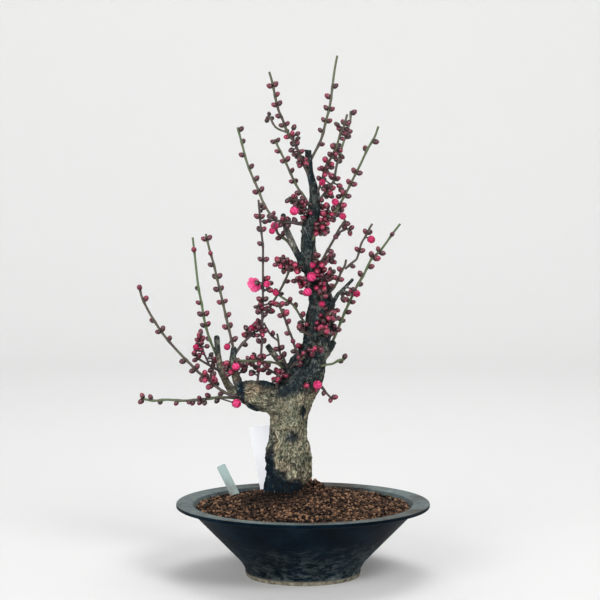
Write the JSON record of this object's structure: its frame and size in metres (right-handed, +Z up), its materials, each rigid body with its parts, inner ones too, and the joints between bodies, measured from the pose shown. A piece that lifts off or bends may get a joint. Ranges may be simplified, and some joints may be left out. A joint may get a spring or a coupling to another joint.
{
  "type": "flowering apricot bonsai",
  "caption": "Old forked bonsai trunk with budded green shoots and pink blossom, in a round flared dark clay pot filled with granular soil.",
  "frame": {"origin": "middle of the bounding box at the height of the surface the pot stands on", "axes": "+Z up, +X to the right of the bonsai's front, -Y towards the viewer of the front"},
  "size_m": [0.2935, 0.254, 0.5187],
  "materials": {
    "dark_clay": "unglazed blue-black clay, satin, dusty in places",
    "akadama": "loose reddish brown clay granules, matt",
    "old_bark": "rough fissured old bark, tan and grey low down, blue-grey higher up",
    "young_wood": "smooth green young bark with wine-red closed buds",
    "flower_buds": "wine-red scaly buds, satin",
    "petals": "soft pink petals, slight sheen",
    "marker": "pale grey-green plastic strip, matt",
    "label": "white plastic sheet, blank, slight gloss",
    "net": "black moulded plastic, matt"
  },
  "bodies": {
    "root": {"pot": "dark_clay", "soil": "akadama", "trunk": "old_bark", "drain_net": "net", "label_stake": "marker", "label_tag": "label", "bloom_left_high": "petals", "bloom_left_top": "petals", "bloom_level": "petals", "bloom_limb_end": "petals", "bloom_open": "petals", "bloom_right_inner": "petals", "bloom_right_long": "petals", "bloom_right_low": "petals", "bloom_trunk_high": "petals", "bloom_trunk_lower": "petals", "bloom_trunk_upper": "petals", "bloom_upright": "petals", "shoot_crown_left": "young_wood", "shoot_crown_right": "young_wood", "shoot_far_left": "young_wood", "shoot_left_cross": "young_wood", "shoot_left_high": "young_wood", "shoot_left_inner": "young_wood", "shoot_left_upright": "young_wood", "shoot_level_left": "young_wood", "shoot_limb_back": "young_wood", "shoot_limb_front": "young_wood", "shoot_right_back": "young_wood", "shoot_right_fork": "young_wood", "shoot_right_front": "young_wood", "shoot_right_high": "young_wood", "shoot_right_inner": "young_wood", "shoot_right_long": "young_wood", "twig_left_fork": "young_wood", "twig_left_slant": "young_wood", "twig_level": "young_wood", "twig_limb_out": "young_wood", "twig_low": "young_wood", "twig_right_down": "young_wood", "twig_right_low": "young_wood", "twig_saddle_left": "young_wood", "twig_saddle_right": "young_wood", "spur_back_high": "flower_buds", "spur_back_low": "flower_buds", "spur_front_bloom": "flower_buds", "spur_front_high": "flower_buds", "spur_front_knot": "flower_buds", "spur_front_left": "flower_buds", "spur_front_low": "flower_buds", "spur_front_middle": "flower_buds", "spur_left_lower": "flower_buds", "spur_left_middle": "flower_buds", "spur_left_top": "flower_buds", "spur_left_upper": "flower_buds", "spur_limb_top": "flower_buds", "spur_right_lower": "flower_buds", "spur_right_middle": "flower_buds", "spur_right_upper": "flower_buds"}
  },
  "joints": []
}
